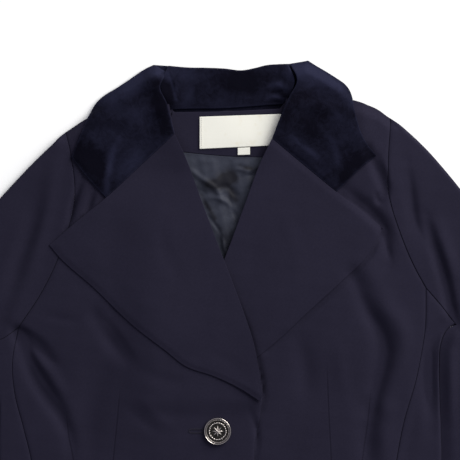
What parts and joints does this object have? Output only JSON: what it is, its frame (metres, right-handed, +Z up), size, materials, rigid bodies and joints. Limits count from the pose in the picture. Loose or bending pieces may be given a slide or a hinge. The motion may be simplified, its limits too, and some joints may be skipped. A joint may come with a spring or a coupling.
{
  "type": "uniform jacket",
  "caption": "Fitted navy wool uniform jacket with a velvet collar, wide peaked lapels and metal buttons, laid flat on its back with the sleeves spread.",
  "frame": {"origin": "on the surface that the jacket lies on, under the middle of its outline", "axes": "+X to the wearer's left across the spread sleeves, +Y towards the collar, +Z up, out of the jacket's front"},
  "size_m": [0.9122, 0.682, 0.0216],
  "materials": {
    "navy_wool": "fine matte wool twill, very dark navy",
    "navy_velvet": "short-pile velvet, nearly black navy with a blue sheen",
    "blue_grey_satin": "smooth satin lining, softly creased",
    "ivory_ribbon": "bare woven ribbon, slightly yellowed",
    "antique_silver": "struck metal in antique silver, dark in its recesses"
  },
  "bodies": {
    "root": {"back": "navy_wool", "front_left": "navy_wool", "front_right": "navy_wool", "lapel_left": "navy_wool", "lapel_right": "navy_wool", "neck_facing": "navy_wool", "side_panel_left": "navy_wool", "side_panel_right": "navy_wool", "sleeve_under_left": "navy_wool", "sleeve_under_right": "navy_wool", "sleeve_upper_left": "navy_wool", "sleeve_upper_right": "navy_wool", "collar_back_fall": "navy_velvet", "collar_fall_left": "navy_velvet", "collar_fall_right": "navy_velvet", "collar_stand": "navy_velvet", "back_lining": "blue_grey_satin", "label": "ivory_ribbon", "size_tab": "ivory_ribbon", "button_1": "antique_silver", "button_2": "antique_silver", "button_3": "antique_silver"}
  },
  "joints": []
}
